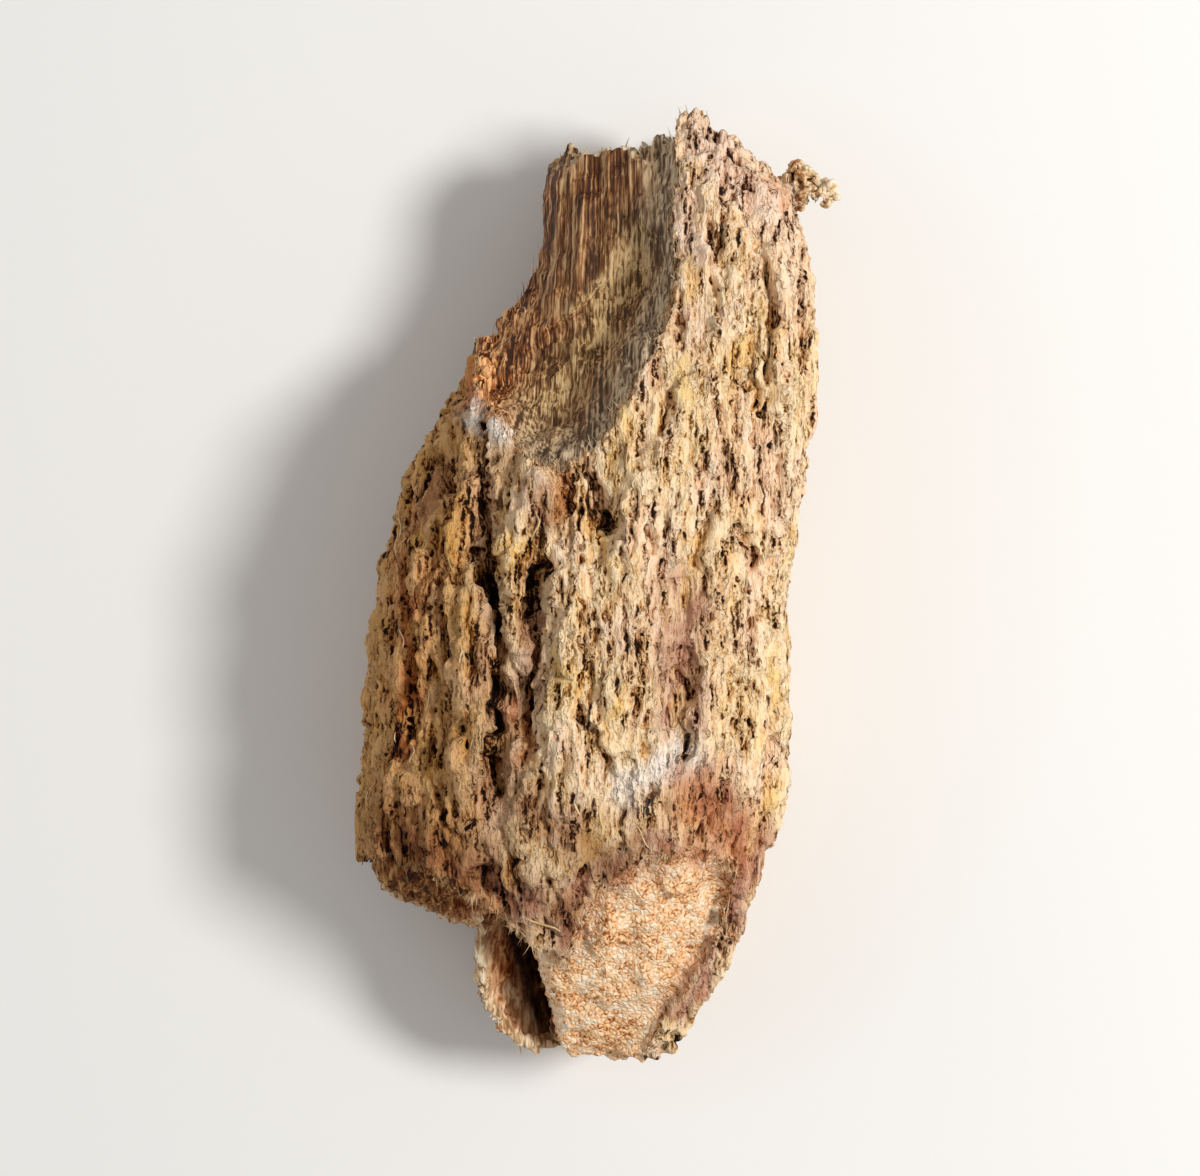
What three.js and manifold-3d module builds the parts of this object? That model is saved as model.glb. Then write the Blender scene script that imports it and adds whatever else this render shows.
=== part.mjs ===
// One chip of dried devil's claw root, as it comes from the cutter: a thick slab from the
// outside of a storage root. Furrowed bark covers its crown and both flanks. At the head a
// strip of bark is torn away and shows the smooth wood under it. At the foot the bark has
// broken off and leaves a bare patch of inner cork, with a thin flake curling away beside it.
// Millimetres. +Y runs along the root from foot to head and +Z is up through the bark.
// The origin is the middle of the chip's plan, on the flat cut face that it rests on.
import * as THREE from "three";
import { mergeVertices } from "three/addons/utils/BufferGeometryUtils.js";
import Module from "manifold-3d";

const wasm = await Module();
wasm.setup();

// Driving dimensions
const ROOT_REACH = 9.2; // the root runs on this far both ways before its ends are broken off
const BARK_THICKNESS = 0.55; // bark over wood, at the crown
const BARK_AT_FLANK = 0.18; // bark over wood, at the flanks
const WAIST = 1.95; // height of the widest level above the resting face
const BELOW_CUT = 0.5; // how far the round underside reached below the cut that made it flat
const CROWN_LEAN = 0.55; // the crown stands this far to the right of the middle
const CROWN_POWER = 0.72; // below 1 is a fuller, flatter crown than a circle's
const FLANK_POWER = 0.86; // the same for the flanks
const BELLY_POWER = 0.6; // the same for the underside

// Relief of the bark
const FURROWS_AROUND = 30;
const FURROW_DEPTH = 0.17;
const RIDGES_AROUND = 13;
const RIDGE_HEIGHT = 0.2;

// Facets
const AROUND = 92;
const CROWN_SHARE = 0.76; // share of the facets around that lie above the waist
const ALONG = 54;
const END_ROWS = 2; // rows of facets that close each end of a loft
const WOOD_AROUND = 60;
const WOOD_ALONG = 40;
const SHORTEST_EDGE = 0.012; // joining collapses edges shorter than this

// The flanks in plan, as [place along the root, distance from the middle line].
const LEFT_FLANK = [
  [-9.2, -2.6],
  [-8.0, -3.0],
  [-6.0, -3.55],
  [-4.67, -3.78],
  [-3.1, -3.76],
  [-2.0, -3.62],
  [-0.9, -3.55],
  [0.67, -3.38],
  [1.5, -3.2],
  [2.33, -2.84],
  [3.17, -2.32],
  [3.83, -1.92],
  [4.7, -1.48],
  [5.5, -1.06],
  [6.3, -0.98],
  [7.2, -0.82],
  [8.1, -0.5],
  [9.2, -0.2],
];
const RIGHT_FLANK = [
  [-9.2, 0.4],
  [-8.0, 0.95],
  [-7.6, 1.3],
  [-6.8, 1.86],
  [-6.0, 2.34],
  [-5.2, 2.64],
  [-4.3, 2.92],
  [-3.2, 3.12],
  [-2.2, 3.2],
  [-1.1, 3.14],
  [0.4, 3.16],
  [1.4, 3.44],
  [2.6, 3.6],
  [3.6, 3.76],
  [4.6, 3.7],
  [5.4, 3.72],
  [6.0, 3.54],
  [6.7, 3.2],
  [7.3, 2.82],
  [8.1, 2.2],
  [9.2, 1.5],
];
// Height of the crown above the resting face, along the root.
const CROWN_HEIGHT = [
  [-9.2, 1.9],
  [-8.0, 2.75],
  [-7.2, 3.4],
  [-6.0, 4.1],
  [-4.5, 4.75],
  [-2.0, 5.25],
  [1.0, 5.4],
  [4.0, 5.15],
  [6.2, 4.65],
  [8.1, 3.75],
  [9.2, 3.2],
];

// Deep furrows and pits of the crown, each a path of [along, across] points in plan.
const DEEP_FURROWS = [
  { path: [[-3.0, -1.58], [-2.4, -1.5], [-1.8, -1.33], [-1.2, -1.33], [-0.4, -1.5], [0.5, -1.67], [1.4, -1.58]], depth: 0.5, width: 0.2 },
  { path: [[-2.5, -0.92], [-1.9, -1.0], [-1.3, -0.92], [-0.7, -0.76], [0.0, -0.83], [0.8, -1.0]], depth: 0.4, width: 0.2 },
  { path: [[1.5, -2.36], [2.0, -2.25], [2.5, -2.06]], depth: 0.35, width: 0.18 },
  { path: [[0.7, 0.17], [1.3, 0.25], [2.1, 0.17]], depth: 0.34, width: 0.17 },
  { path: [[0.7, -0.42], [1.4, -0.5], [2.0, -0.42]], depth: 0.3, width: 0.16 },
  { path: [[-1.8, 2.25], [-1.0, 2.33], [0.0, 2.42], [1.0, 2.33]], depth: 0.26, width: 0.17 },
  { path: [[2.2, 2.67], [3.2, 2.75], [4.2, 2.67], [5.2, 2.75]], depth: 0.26, width: 0.16 },
  { path: [[-1.6, 1.5], [-0.8, 1.5], [0.0, 1.46]], depth: 0.3, width: 0.4 },
  { path: [[-2.5, 1.5], [-1.8, 1.5]], depth: 0.3, width: 0.18 },
  { path: [[-3.6, -2.17], [-2.8, -2.42], [-1.8, -2.5]], depth: 0.22, width: 0.18 },
  { path: [[-2.9, 0.5], [-2.2, 0.17], [-1.5, -0.08], [-0.9, 0.3]], depth: 0.22, width: 0.17 },
  { path: [[1.4, 1.3], [2.4, 1.55], [3.4, 1.75], [4.4, 1.85]], depth: 0.2, width: 0.17 },
];
// Raised ribs of bark, given in the same way: a negative depth is a height.
const RIBS = [
  { path: [[-3.5, 2.98], [-1.5, 2.95], [0.3, 2.93], [2.0, 3.1], [3.3, 3.2]], depth: -0.14, width: 0.24 },
  { path: [[-2.4, -1.82], [-0.6, -1.92], [1.2, -1.96], [2.7, -1.9]], depth: -0.16, width: 0.22 },
  { path: [[-1.6, -0.45], [-0.4, -0.35], [0.6, -0.55]], depth: -0.12, width: 0.22 },
];
// The scoop in the bare wood at the notch, and the swelling of the cork patch at the foot.
const WOOD_FORMS = [
  { path: [[2.6, -0.75], [3.3, -0.5], [4.2, 0.0], [5.0, 0.45]], depth: 0.42, width: 0.75 },
  { path: [[-6.2, 0.9], [-5.6, 1.0], [-4.8, 1.2]], depth: -0.3, width: 1.5 },
];

// Plan of the bark: its torn edges at the notch and the foot. Elsewhere it runs past the flanks.
const BARK_PLAN = [
  [-6, -4.33], [-3.75, -4.36], [-3.3, -4.28], [-2.75, -4.42], [-2.25, -4.5], [-1.92, -4.86],
  [-1.42, -5.14], [-1.08, -5.45], [-0.72, -5.68], [-0.33, -5.98], [-0.28, -5.62], [-0.14, -5.22],
  [0.08, -4.86], [0.5, -4.48], [0.92, -4.22], [1.42, -4.08], [2.0, -4.16], [2.34, -4.46],
  [2.22, -5.17], [1.93, -5.83], [1.52, -6.5], [1.12, -7.08], [0.9, -7.56],
  [6, -7.5], [6, 6.7], [2.95, 7.22], [2.5, 7.58], [2.1, 7.9], [1.78, 8.06], [1.5, 7.95], [1.38, 7.42], [1.46, 6.75], [1.3, 6.1], [1.42, 5.42],
  [1.36, 4.83], [1.15, 4.25], [0.83, 3.67], [0.6, 3.17], [0.42, 2.76], [0.06, 2.36], [-0.4, 2.08],
  [-0.75, 2.02], [-1.06, 2.32], [-1.33, 2.75], [-1.6, 3.1], [-1.84, 3.42], [-1.8, 3.9], [-6, 4.1],
];
// Plan of the wood and cork inside: broken ends at the head and the foot.
const WOOD_PLAN = [
  [-6, -4.4], [-3.8, -4.66], [-3.5, -4.92], [-3.17, -5.16], [-2.75, -5.4], [-2.33, -5.58], [-1.92, -5.7],
  [-1.3, -5.76], [-0.98, -5.66], [-0.82, -6.25], [-0.66, -6.83], [-0.5, -7.42], [-0.38, -7.68], [0.2, -7.78],
  [0.9, -7.74], [6, -7.3], [6, 6.9], [1.4, 7.5], [1.0, 7.62], [0.6, 7.52], [0.25, 7.6], [-0.1, 7.5], [-0.45, 7.66],
  [-6, 7.66],
];

// The broken face under the bark's left foot slopes down and out.
const BREAK_SLOPE = { angle: 1.1, along: -4.45, height: 3.7, right: -1.0 };
// The broken ends lean in under the chip: where each starts at the crown, and its lean from upright.
const HEAD_BREAK = { along: 8.1, height: 5, lean: 0.16 };
const FOOT_BREAK = { along: -8.0, height: 4, lean: 0.2 };

// The flake beside the cork patch: its plan, its height, and the web that joins it to the wood.
const FLAKE_OUTER = [[-1.5, -5.3], [-1.66, -6.0], [-1.62, -6.7], [-1.3, -7.35], [-0.8, -7.66], [-0.2, -7.7]];
const FLAKE_INNER = [[-0.5, -7.42], [-0.95, -7.1], [-1.24, -6.6], [-1.3, -6.0], [-1.2, -5.3]];
const FLAKE_TOP = { along: -5.2, height: 3.5, slope: 0.5 }; // its upper edge falls towards the foot
const FLAKE_LEAN = -0.11; // it leans out to the left by this much for each millimetre of height
const WEB_HEIGHT = 1.1;

// The frayed tuft on the right shoulder, as small lumps of [x, y, z, radius].
const TUFT = [
  [3.2, 6.62, 2.35, 0.42],
  [3.52, 6.9, 2.62, 0.36],
  [3.42, 7.08, 2.75, 0.24],
  [3.86, 6.72, 2.66, 0.26],
  [4.08, 6.62, 2.72, 0.19],
];

// A smooth function through [at, value] points, from three's own cubic interpolant.
function curveThrough(points) {
  const spline = new THREE.CubicInterpolant(
    points.map(([at]) => at),
    points.map(([, value]) => value),
    1,
  );
  return (at) => spline.evaluate(at)[0];
}

const leftFlank = curveThrough(LEFT_FLANK);
const rightFlank = curveThrough(RIGHT_FLANK);
const crownHeight = curveThrough(CROWN_HEIGHT);

// The point of the root's section at a turn (0 is the right flank, PI / 2 the crown) and a place along it.
function section(turn, along, inset) {
  const left = leftFlank(along);
  const right = rightFlank(along);
  const half = (right - left) / 2 - inset.flank;
  const cos = Math.cos(turn);
  const sin = Math.sin(turn);
  const across = Math.sign(cos) * Math.abs(cos) ** FLANK_POWER;
  const x = (left + right) / 2 + half * across + CROWN_LEAN * Math.max(sin, 0) ** 2;
  const rise = crownHeight(along) - inset.crown - WAIST;
  const z =
    sin >= 0
      ? WAIST + rise * sin ** CROWN_POWER
      : WAIST - (WAIST + BELOW_CUT) * Math.abs(sin) ** BELLY_POWER;
  return new THREE.Vector2(x, z);
}

// How far a furrow (or a rib, with its negative depth) lowers the bark at a place in plan.
function carve({ path, depth, width }, x, along) {
  const from = path[0][0];
  const to = path[path.length - 1][0];
  const beyond = Math.max(from - along, along - to, 0);
  const middle = curveThrough(path)(THREE.MathUtils.clamp(along, from, to));
  return depth * Math.exp(-(((x - middle) / width) ** 2) - (beyond / (1.5 * width)) ** 2);
}

// Relief of the bark along the section's normal: round ribs with sharp furrows between, then the named ones.
function barkRelief(turn, along, x) {
  const wander = 0.55 * Math.sin(0.45 * along + 0.6) + 0.3 * Math.sin(1.25 * along + 2 * turn);
  const furrows = Math.abs(Math.sin((FURROWS_AROUND * turn) / 2 + 2.1 * wander));
  const ridges = Math.sin(RIDGES_AROUND * turn + 1.4 * wander + 0.35 * along);
  const general = FURROW_DEPTH * (furrows - 0.75) + (RIDGE_HEIGHT / 2) * ridges;
  const aboveWaist = Math.sin(turn) > 0;
  const named = aboveWaist ? [...DEEP_FURROWS, ...RIBS].reduce((sum, f) => sum + carve(f, x, along), 0) : 0;
  const fade = aboveWaist ? 1 : THREE.MathUtils.clamp(1 + 1.6 * Math.sin(turn), 0, 1);
  return fade * general - named;
}

// Fine grain of the wood where the bark is gone: shallow lines along the root, and the forms named above.
function woodRelief(turn, along, x) {
  const grain = 0.035 * Math.sin(15 * x + 0.8 * Math.sin(0.7 * along)) + 0.05 * Math.sin(4 * x + 0.5 * along);
  const named = Math.sin(turn) > 0 ? WOOD_FORMS.reduce((sum, f) => sum + carve(f, x, along), 0) : 0;
  return grain - named;
}

// A closed loft of the section from foot to head: a sphere's rows become stations along the root.
function loft({ around, rows, inset, relief }) {
  const ball = new THREE.SphereGeometry(1, around, rows);
  ball.deleteAttribute("normal");
  ball.deleteAttribute("uv");
  const geometry = mergeVertices(ball, 1e-5);
  const position = geometry.attributes.position;
  for (let i = 0; i < position.count; i++) {
    const point = new THREE.Vector3().fromBufferAttribute(position, i);
    const row = (Math.acos(THREE.MathUtils.clamp(point.y, -1, 1)) / Math.PI) * rows;
    const share = (Math.atan2(point.z, point.x) / (2 * Math.PI) + 1) % 1;
    const turn = share < CROWN_SHARE ? (Math.PI * share) / CROWN_SHARE : Math.PI * (1 + (share - CROWN_SHARE) / (1 - CROWN_SHARE));
    const fromEnd = Math.min(row, rows - row);
    const fill = Math.min(fromEnd / END_ROWS, 1);
    const station = THREE.MathUtils.clamp((row - END_ROWS) / (rows - 2 * END_ROWS), 0, 1);
    const along = THREE.MathUtils.lerp(ROOT_REACH, -ROOT_REACH, station);
    const rim = section(turn, along, inset);
    const ahead = section(turn + 0.02, along, inset);
    const behind = section(turn - 0.02, along, inset);
    const normal = new THREE.Vector2(ahead.y - behind.y, behind.x - ahead.x).normalize();
    rim.addScaledVector(normal, relief(turn, along, rim.x));
    const middle = new THREE.Vector2((leftFlank(along) + rightFlank(along)) / 2, WAIST);
    const placed = middle.lerp(rim, fill);
    position.setXYZ(i, placed.x, along, placed.y);
  }
  return geometry;
}

// An upright prism on a plan outline.
function prism(plan, from, to) {
  const shape = new THREE.Shape(plan.map(([x, y]) => new THREE.Vector2(x, y)));
  const geometry = new THREE.ExtrudeGeometry(shape, { depth: to - from, bevelEnabled: false });
  return geometry.translate(0, 0, from);
}

// A three.js geometry as a closed solid for joining and cutting, and back.
function solid(geometry) {
  const bare = geometry.clone();
  bare.deleteAttribute("normal");
  bare.deleteAttribute("uv");
  const merged = mergeVertices(bare, 1e-4);
  return new wasm.Manifold(
    new wasm.Mesh({
      numProp: 3,
      vertProperties: merged.attributes.position.array,
      triVerts: new Uint32Array(merged.index.array),
      tolerance: SHORTEST_EDGE,
    }),
  );
}

function geometryOf(manifold) {
  const mesh = manifold.getMesh();
  const geometry = new THREE.BufferGeometry();
  geometry.setAttribute("position", new THREE.BufferAttribute(new Float32Array(mesh.vertProperties), 3));
  geometry.setIndex(new THREE.BufferAttribute(new Uint32Array(mesh.triVerts), 1));
  geometry.computeVertexNormals();
  return geometry;
}

// Bark: the root's outer form, torn along its plan.
function bark() {
  const form = loft({
    around: AROUND,
    rows: ALONG,
    inset: { crown: 0, flank: 0 },
    relief: barkRelief,
  });
  return solid(form).intersect(solid(prism(BARK_PLAN, -BELOW_CUT - 1, 8)));
}

// Wood and inner cork: the same form, smaller by the bark's thickness, with broken ends.
function wood() {
  const form = loft({
    around: WOOD_AROUND,
    rows: WOOD_ALONG,
    inset: { crown: BARK_THICKNESS, flank: BARK_AT_FLANK },
    relief: woodRelief,
  });
  return solid(form).intersect(solid(prism(WOOD_PLAN, -BELOW_CUT - 1, 8)));
}

// What broke away below the bark's left foot: everything above a slope.
function breakAbove() {
  const size = 6;
  const block = new THREE.BoxGeometry(size, size, size);
  block.translate(-size / 2, -size / 2, size / 2);
  block.rotateX(BREAK_SLOPE.angle);
  return solid(block.translate(BREAK_SLOPE.right, BREAK_SLOPE.along, BREAK_SLOPE.height));
}

// The curled flake and the low web between it and the wood.
function flake() {
  const blade = prism([...FLAKE_OUTER, ...FLAKE_INNER], -BELOW_CUT, FLAKE_TOP.height);
  blade.applyMatrix4(new THREE.Matrix4().makeShear(0, 0, 0, 0, FLAKE_LEAN, 0));
  const above = new THREE.BoxGeometry(8, 8, 8).translate(0, 0, 4).rotateX(FLAKE_TOP.slope);
  above.translate(0, FLAKE_TOP.along, FLAKE_TOP.height);
  const web = prism([...FLAKE_OUTER, [0.2, -7.4], [-0.2, -5.4]], -BELOW_CUT, WEB_HEIGHT);
  return solid(blade).subtract(solid(above)).add(solid(web));
}

// The frayed tuft: small lumps grown together.
function tuft() {
  return TUFT.map(([x, y, z, radius]) => solid(new THREE.IcosahedronGeometry(radius, 1).translate(x, y, z))).reduce(
    (joined, lump) => joined.add(lump),
  );
}

// Everything beyond one leaning broken end.
function beyondEnd({ along, height, lean }) {
  const side = Math.sign(along);
  const block = new THREE.BoxGeometry(14, 4, 14).translate(0, 2 * side, 0);
  return solid(block.rotateX(side * lean).translate(0, along, height));
}

// Everything under the flat face that the cutter left.
function belowCut() {
  return solid(new THREE.BoxGeometry(20, 30, 4).translate(0, 0, -2));
}

const inner = wood().subtract(breakAbove());
const whole = bark().add(inner).add(flake()).add(tuft());
const chip = whole.subtract(beyondEnd(HEAD_BREAK)).subtract(beyondEnd(FOOT_BREAK)).subtract(belowCut());
const geometry = geometryOf(chip);
geometry.computeBoundingBox();
const middle = geometry.boundingBox.getCenter(new THREE.Vector3());
geometry.translate(-middle.x, -middle.y, -geometry.boundingBox.min.z);

const rootChip = new THREE.Mesh(
  geometry,
  new THREE.MeshStandardMaterial({ color: 0xb08c62, roughness: 0.9, metalness: 0 }),
);
rootChip.name = "root_chip";

const group = new THREE.Group();
group.add(rootChip);

export default group;
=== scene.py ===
import math
import random

import bpy
from mathutils import Matrix, Vector, noise
from mathutils.bvhtree import BVHTree
from mathutils.kdtree import KDTree


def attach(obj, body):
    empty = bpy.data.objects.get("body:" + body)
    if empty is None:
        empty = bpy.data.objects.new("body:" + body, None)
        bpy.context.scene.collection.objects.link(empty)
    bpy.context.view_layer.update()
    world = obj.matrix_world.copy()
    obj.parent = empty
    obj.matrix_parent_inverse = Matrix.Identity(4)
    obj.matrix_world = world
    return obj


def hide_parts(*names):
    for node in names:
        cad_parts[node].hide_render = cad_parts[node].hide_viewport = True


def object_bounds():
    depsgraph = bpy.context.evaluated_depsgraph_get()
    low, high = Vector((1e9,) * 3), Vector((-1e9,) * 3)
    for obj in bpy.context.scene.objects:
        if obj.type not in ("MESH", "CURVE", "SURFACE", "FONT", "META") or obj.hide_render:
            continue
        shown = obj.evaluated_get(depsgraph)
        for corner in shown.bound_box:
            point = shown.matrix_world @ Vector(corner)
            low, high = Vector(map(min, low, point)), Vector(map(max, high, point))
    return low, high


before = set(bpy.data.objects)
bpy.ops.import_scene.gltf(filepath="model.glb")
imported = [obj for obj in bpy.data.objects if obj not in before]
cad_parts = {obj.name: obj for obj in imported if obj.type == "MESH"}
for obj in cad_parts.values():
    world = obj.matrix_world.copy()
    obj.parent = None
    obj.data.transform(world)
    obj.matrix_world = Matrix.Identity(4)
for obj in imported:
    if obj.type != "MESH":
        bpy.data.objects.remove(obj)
cad_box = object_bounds()

# Camera
# The photograph looks straight down on the chip, with the chip's head at the top of the picture.
# A long lens keeps the sides upright, and the picture is a little taller than the chip.
MM = 0.001
PICTURE_WIDE, PICTURE_HIGH = 1200, 1176
VIEW_HEIGHT = 19.6 * MM
LENS = 100.0
SENSOR = 36.0
CROWN = 2.5 * MM  # height above the floor at which the picture is VIEW_HEIGHT tall
view_width = VIEW_HEIGHT * PICTURE_WIDE / PICTURE_HIGH
stand_off = view_width * LENS / SENSOR
bpy.ops.object.camera_add(location=(0, 0, stand_off + CROWN), rotation=(0, 0, 0))
camera = bpy.context.object
camera.name = "camera"
camera.data.lens = LENS
camera.data.sensor_width = SENSOR
camera.data.sensor_fit = "HORIZONTAL"
camera.data.clip_start = 1 * MM
camera.data.clip_end = 2.0
camera.data.dof.use_dof = False
bpy.context.scene.camera = camera

# Light
# A soft lamp stands high on the right, where the photograph's light comes from, with a
# weaker one on the left and an even pale surround.
KEY = {"place": (64, 8, 78), "wide": 26, "watts": 0.08}
FILL = {"place": (-80, 10, 60), "wide": 90, "watts": 0.012}
SURROUND = 0.37
for name, lamp in (("key_light", KEY), ("fill_light", FILL)):
    place = Vector(lamp["place"]) * MM
    turned = (-place).to_track_quat("-Z", "Y").to_euler()
    bpy.ops.object.light_add(type="AREA", location=place, rotation=turned)
    light = bpy.context.object
    light.name = name
    light.data.shape = "DISK"
    light.data.size = lamp["wide"] * MM
    light.data.energy = lamp["watts"]
world = bpy.data.worlds.new("surround")
world.use_nodes = True
world.node_tree.nodes["Background"].inputs["Color"].default_value = (1.0, 1.0, 1.0, 1.0)
world.node_tree.nodes["Background"].inputs["Strength"].default_value = SURROUND
bpy.context.scene.world = world
bpy.context.scene.view_settings.view_transform = "Standard"


# Floor
# A plain sheet of matte white card that the chip lies on. It is a hair lower than the chip's
# flat face, so that the two are never in one plane.
FLOOR_WIDE = 1200 * MM
FLOOR_BELOW = 0.004 * MM


def linear(code):
    """An sRGB hex colour as the linear colour that a shader takes."""
    parts = [int(code[i : i + 2], 16) / 255 for i in (1, 3, 5)]
    return [c / 12.92 if c <= 0.04045 else ((c + 0.055) / 1.055) ** 2.4 for c in parts] + [1.0]


def add(tree, kind, inputs=(), stops=(), **settings):
    """Adds a node with its settings, its colour stops and its inputs: values, hex colours or sockets.

    An input goes by its name, or by its number where the node has several of one name."""
    made = tree.nodes.new(kind)
    for name, value in settings.items():
        setattr(made, name, value)
    for name, value in dict(inputs).items():
        if isinstance(value, bpy.types.NodeSocket):
            tree.links.new(value, made.inputs[name])
        elif isinstance(value, str) and value.startswith("#"):
            made.inputs[name].default_value = linear(value)
        else:
            made.inputs[name].default_value = value
    for index, (at, code) in enumerate(stops):
        points = made.color_ramp.elements
        point = points[index] if index < 2 else points.new(at)
        point.position = at
        point.color = linear(code)
    return made


def material(name, roughness, specular):
    """A new material with one matte shader, and its node tree."""
    made = bpy.data.materials.new(name)
    made.use_nodes = True
    tree = made.node_tree
    shader = tree.nodes["Principled BSDF"]
    shader.inputs["Roughness"].default_value = roughness
    shader.inputs["IOR"].default_value = 1.5
    shader.inputs["Specular IOR Level"].default_value = specular
    return made, tree, shader


card, tree, shader = material("matte_card", 0.9, 0.2)
shader.inputs["Base Color"].default_value = linear("#F1EFEB")
bpy.ops.mesh.primitive_plane_add(size=FLOOR_WIDE, location=(0, 0, -FLOOR_BELOW))
floor = bpy.context.object
floor.name = "floor"
floor.data.materials.append(card)

# Chip
# One piece of dried storage root: corky bark outside, fibrous wood inside. The cutter left it
# with a flat face below, and breaking tore the bark off at the head and at the foot.

# Its form is the solid's. It is worked on in millimetres, and skinned evenly before carving.
COARSE_SKIN = 0.07  # spacing of the surface's points while the large forms are shaped
FINE_SKIN = 0.034  # and while the bark, wood and cork are carved
MOST_FACES = 196000  # triangles
CENTRE = Vector((0.185, 0.14))  # the chip's middle, in the plan of the outlines
EDGE_DOTS = 40  # points along each side of an outline
LONGEST_SIDE = 2.2  # a longer side runs outside the chip
NOTCH_EDGE = (  # where the bark is torn away at the head, from the head round to the left flank
    (1.5, 9.0), (1.5, 7.95), (1.38, 7.42), (1.46, 6.75), (1.3, 6.1), (1.42, 5.42), (1.36, 4.83),
    (1.15, 4.25), (0.83, 3.67), (0.6, 3.17), (0.42, 2.76), (0.06, 2.36), (-0.4, 2.08), (-0.75, 2.02),
    (-1.06, 2.32), (-1.33, 2.75), (-1.6, 3.1), (-1.84, 3.42), (-1.8, 3.9), (-6.0, 4.1), (-6.0, 9.0),
)
FOOT_EDGE = (  # where it is broken off at the foot, from the left flank to the right
    (-6.0, -4.33), (-3.75, -4.36), (-3.3, -4.28), (-2.75, -4.42), (-2.25, -4.5), (-1.92, -4.86),
    (-1.42, -5.14), (-1.08, -5.45), (-0.72, -5.68), (-0.33, -5.98), (-0.28, -5.62), (-0.14, -5.22),
    (0.08, -4.86), (0.5, -4.48), (0.92, -4.22), (1.42, -4.08), (2.0, -4.16), (2.34, -4.46), (2.22, -5.17),
    (1.93, -5.83), (1.52, -6.5), (1.12, -7.08), (0.9, -7.56), (0.9, -9.0), (-6.0, -9.0),
)
CORK_EDGE = (  # the patch of inner cork at the foot
    (-0.86, -5.5), (-0.3, -5.9), (-0.14, -5.1), (0.4, -4.4), (1.4, -3.9), (2.6, -4.2), (2.5, -6.0),
    (1.2, -9.0), (-0.36, -9.0), (-0.4, -7.8), (-0.62, -7.1), (-0.84, -6.4), (-0.98, -5.7),
)


def outline(points):
    """A closed outline in plan: a test for being inside it, and the nearest of the points along it."""
    points = [Vector(p) - CENTRE for p in points]
    sides = list(zip(points, points[1:] + points[:1]))
    drawn = [(a, b) for a, b in sides if (a - b).length < LONGEST_SIDE]
    dots = [a.lerp(b, i / EDGE_DOTS) for a, b in drawn for i in range(EDGE_DOTS)]
    known = KDTree(len(dots))
    for i, dot in enumerate(dots):
        known.insert(dot.to_3d(), i)
    known.balance()

    def inside(x, y):
        crossed = 0
        for a, b in sides:
            if (a.y > y) != (b.y > y) and x < a.x + (y - a.y) / (b.y - a.y) * (b.x - a.x):
                crossed += 1
        return crossed % 2 == 1

    def nearest(x, y):
        dot, _, distance = known.find((x, y, 0))
        return dot, distance

    return inside, nearest


def alone(obj):
    """Selects this object and no other."""
    bpy.ops.object.select_all(action="DESELECT")
    obj.select_set(True)
    bpy.context.view_layer.objects.active = obj


def finish_with(obj, kind, **settings):
    """Puts a modifier on the object and applies it."""
    alone(obj)
    modifier = obj.modifiers.new(kind.lower(), kind)
    for name, value in settings.items():
        setattr(modifier, name, value)
    bpy.ops.object.modifier_apply(modifier=modifier.name)


def along_line(line, parts=12):
    """Points spread along a line in plan, measured from the chip's middle."""
    sides = [(Vector(a), Vector(b)) for a, b in zip(line, line[1:])]
    return [a.lerp(b, i / parts) - CENTRE for a, b in sides for i in range(parts)]


def clamp(value, lowest=0.0, highest=1.0):
    """The value, or the nearer limit where it lies outside the two."""
    return min(max(value, lowest), highest)


def stroke(path, width):
    """How near a place is to a path in plan: 1 on the path, next to nothing past twice that width."""
    path = [Vector(p) - CENTRE for p in path]
    left, right = min(p.x for p in path) - 2 * width, max(p.x for p in path) + 2 * width
    near_y, far_y = min(p.y for p in path) - 2 * width, max(p.y for p in path) + 2 * width

    def nearness(x, y):
        if x < left or x > right or y < near_y or y > far_y:
            return 0.0
        place = Vector((x, y))
        closest = math.inf
        for a, b in zip(path, path[1:]):
            share = clamp((place - a).dot(b - a) / (b - a).length_squared)
            closest = min(closest, (place - a.lerp(b, share)).length)
        return math.exp(-((closest / width) ** 2))

    return nearness


chip = bpy.data.objects.new("chip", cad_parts["root_chip"].data.copy())
bpy.context.collection.objects.link(chip)
chip.data.transform(Matrix.Scale(1 / MM, 4))
alone(chip)
bpy.ops.object.mode_set(mode="EDIT")
bpy.ops.mesh.select_all(action="SELECT")
bpy.ops.mesh.remove_doubles(threshold=0.002)
bpy.ops.object.mode_set(mode="OBJECT")
finish_with(chip, "REMESH", mode="VOXEL", voxel_size=COARSE_SKIN, use_smooth_shade=True)

notch_inside, notch_nearest = outline(NOTCH_EDGE)
foot_inside, foot_nearest = outline(FOOT_EDGE)
cork_inside, _ = outline(CORK_EDGE)
low, high = (Vector(corner) / MM for corner in cad_box)

# The solid's facets are smoothed away, but its torn edges and its ends stay crisp.
ENDS_DEEP = 0.2
CRISP = {"within": 0.1, "over": 0.4}
inner = chip.vertex_groups.new(name="inner")
for vertex in chip.data.vertices:
    x, y, z = vertex.co
    edge = min(notch_nearest(x, y)[1], foot_nearest(x, y)[1], y - low.y - ENDS_DEEP,
               high.y - ENDS_DEEP - y, z)
    inner.add([vertex.index], clamp((edge - CRISP["within"]) / CRISP["over"]), "REPLACE")
finish_with(chip, "SMOOTH", factor=0.5, iterations=60, vertex_group="inner")
finish_with(chip, "SMOOTH", factor=0.5, iterations=4)
chip.vertex_groups.clear()

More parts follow.
